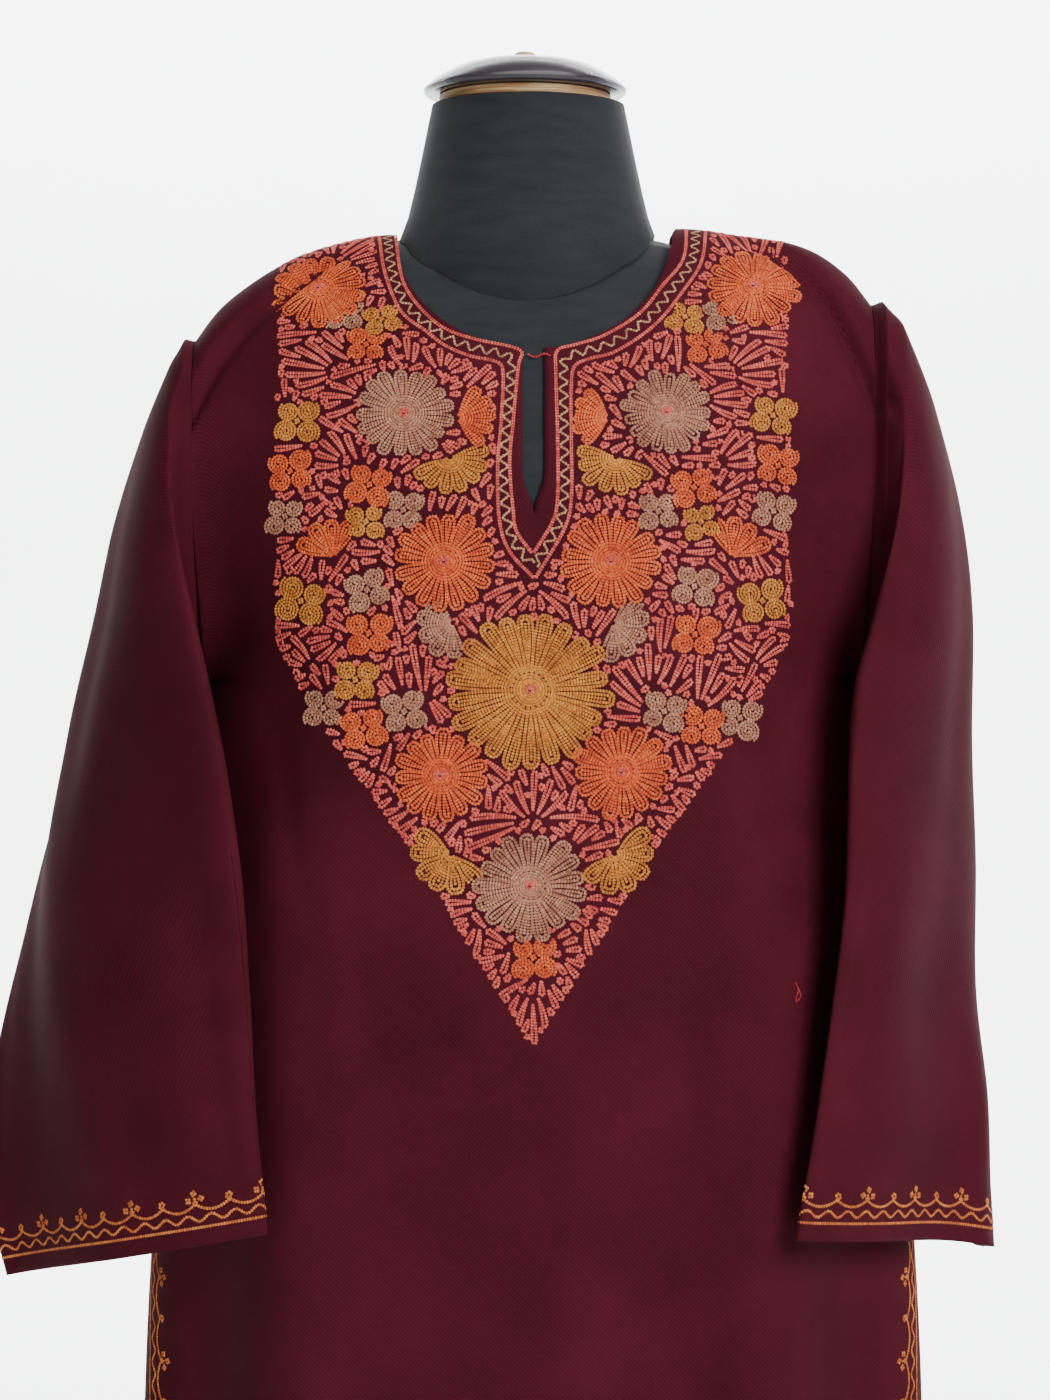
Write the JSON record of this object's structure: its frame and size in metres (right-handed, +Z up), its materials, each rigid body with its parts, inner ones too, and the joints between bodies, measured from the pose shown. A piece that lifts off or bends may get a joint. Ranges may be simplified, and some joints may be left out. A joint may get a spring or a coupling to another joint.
{
  "type": "pheran worn by a limbless dress form on a stand",
  "caption": "Loose wool pheran with a round slit neck, embroidered yoke, wide sleeves and side slits, hung on a limbless dress form with a round base.",
  "frame": {"origin": "centre of the round base's underside, on the floor", "axes": "+Z up the stand, the garment's front towards -Y, +X to the right as seen from the front"},
  "size_m": [0.6152, 0.38, 1.4999],
  "materials": {
    "cloth": "maroon wool twill, soft and slightly napped",
    "thread": "chain-stitched wool and art-silk threads in salmon, orange, gold and taupe, soft sheen",
    "jersey": "black stretched cotton jersey, matte",
    "cap": "glossy near-black",
    "plywood": "raw plywood edge",
    "knob": "bare turned wood",
    "stand": "satin black paint"
  },
  "bodies": {
    "root": {"front_panel": "cloth", "back_panel": "cloth", "sleeve_left": "cloth", "sleeve_right": "cloth", "form_torso": "jersey", "form_neck": "jersey", "neck_plywood": "plywood", "neck_cap": "cap", "cap_knob": "knob", "stand_base": "stand", "stand_pole": "stand", "stand_hub": "stand", "form_socket": "stand"}
  },
  "joints": []
}
